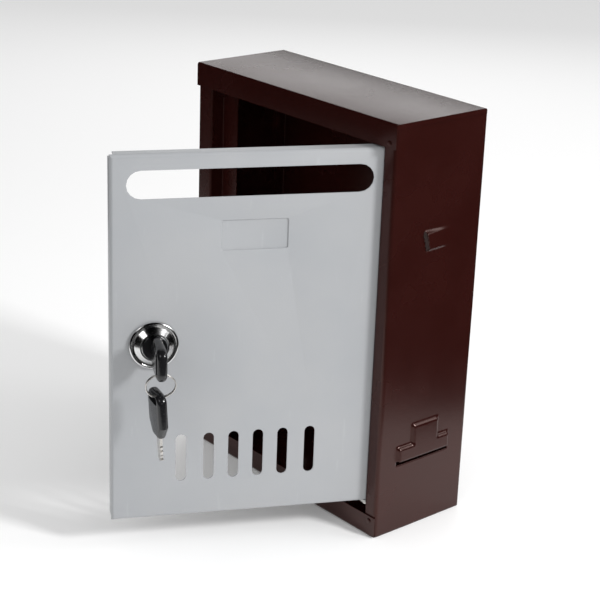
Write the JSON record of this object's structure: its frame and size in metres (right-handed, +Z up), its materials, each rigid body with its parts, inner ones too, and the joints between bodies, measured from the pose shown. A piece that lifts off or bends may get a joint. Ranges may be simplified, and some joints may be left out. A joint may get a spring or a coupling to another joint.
{
  "type": "wall-mounted mailbox",
  "caption": "Wall-mounted steel mailbox with a pivoted slotted door, a cam lock and two keys on a ring.",
  "frame": {"origin": "centre of the housing's back face, on the wall plane", "axes": "+Z up, +Y into the wall, +X to the right when facing the front"},
  "size_m": [0.2156, 0.241, 0.3],
  "materials": {
    "painted_maroon": "dark maroon powder coat, semi-gloss",
    "enamel_grey": "light grey powder coat, semi-gloss",
    "zinc_plate": "zinc plated steel",
    "bright_steel": "bright nickel plated steel",
    "chrome_plate": "polished chrome",
    "dark_plug": "dark plated die-casting",
    "black_plastic": "moulded glossy black plastic"
  },
  "bodies": {
    "housing": {"left_side": "painted_maroon", "right_side": "painted_maroon", "back_panel": "painted_maroon", "top_cap": "painted_maroon", "bottom_tray": "painted_maroon", "upper_hinge_bracket": "zinc_plate", "lower_hinge_bracket": "zinc_plate", "upper_hinge_pin": "bright_steel", "lower_hinge_pin": "bright_steel", "upper_hinge_washer": "zinc_plate", "lower_hinge_washer": "zinc_plate", "upper_bracket_rivet": "painted_maroon", "lower_bracket_rivet": "painted_maroon"},
    "door": {"door_panel": "enamel_grey", "lock_bezel": "chrome_plate", "lock_body": "chrome_plate", "lock_nut": "bright_steel"},
    "plug": {"lock_plug": "dark_plug", "lock_cam": "bright_steel", "cam_washer": "bright_steel", "cam_screw": "bright_steel"},
    "lock_key": {"lock_key_bow": "black_plastic", "lock_key_blade": "bright_steel"},
    "ring": {"key_ring": "bright_steel"},
    "spare_key": {"spare_key_bow": "black_plastic", "spare_key_blade": "bright_steel"}
  },
  "joints": [
    {"name": "door_hinge", "type": "hinge", "parent": "housing", "child": "door", "pos_m": [0.0913, -0.079, 0], "axis": [0, 0, 1], "range_deg": [-63, 17]},
    {"name": "lock_turn", "type": "hinge", "parent": "door", "child": "plug", "pos_m": [0.02568, -0.21661, 0.0026], "axis": [-0.891, 0.454, 0], "range_deg": [0, 90]},
    {"name": "key_pull", "type": "slide", "parent": "plug", "child": "lock_key", "axis": [0.891, -0.454, 0], "range_m": [0, 0.02]},
    {"name": "ring_swing", "type": "hinge", "parent": "lock_key", "child": "ring", "pos_m": [0.05713, -0.23263, -0.00404], "axis": [-0.454, -0.891, 0], "range_deg": [-18, 90]},
    {"name": "spare_key_swing", "type": "hinge", "parent": "ring", "child": "spare_key", "pos_m": [0.051, -0.23158, -0.02232], "axis": [-0.454, -0.891, 0], "range_deg": [-10, 60]}
  ]
}
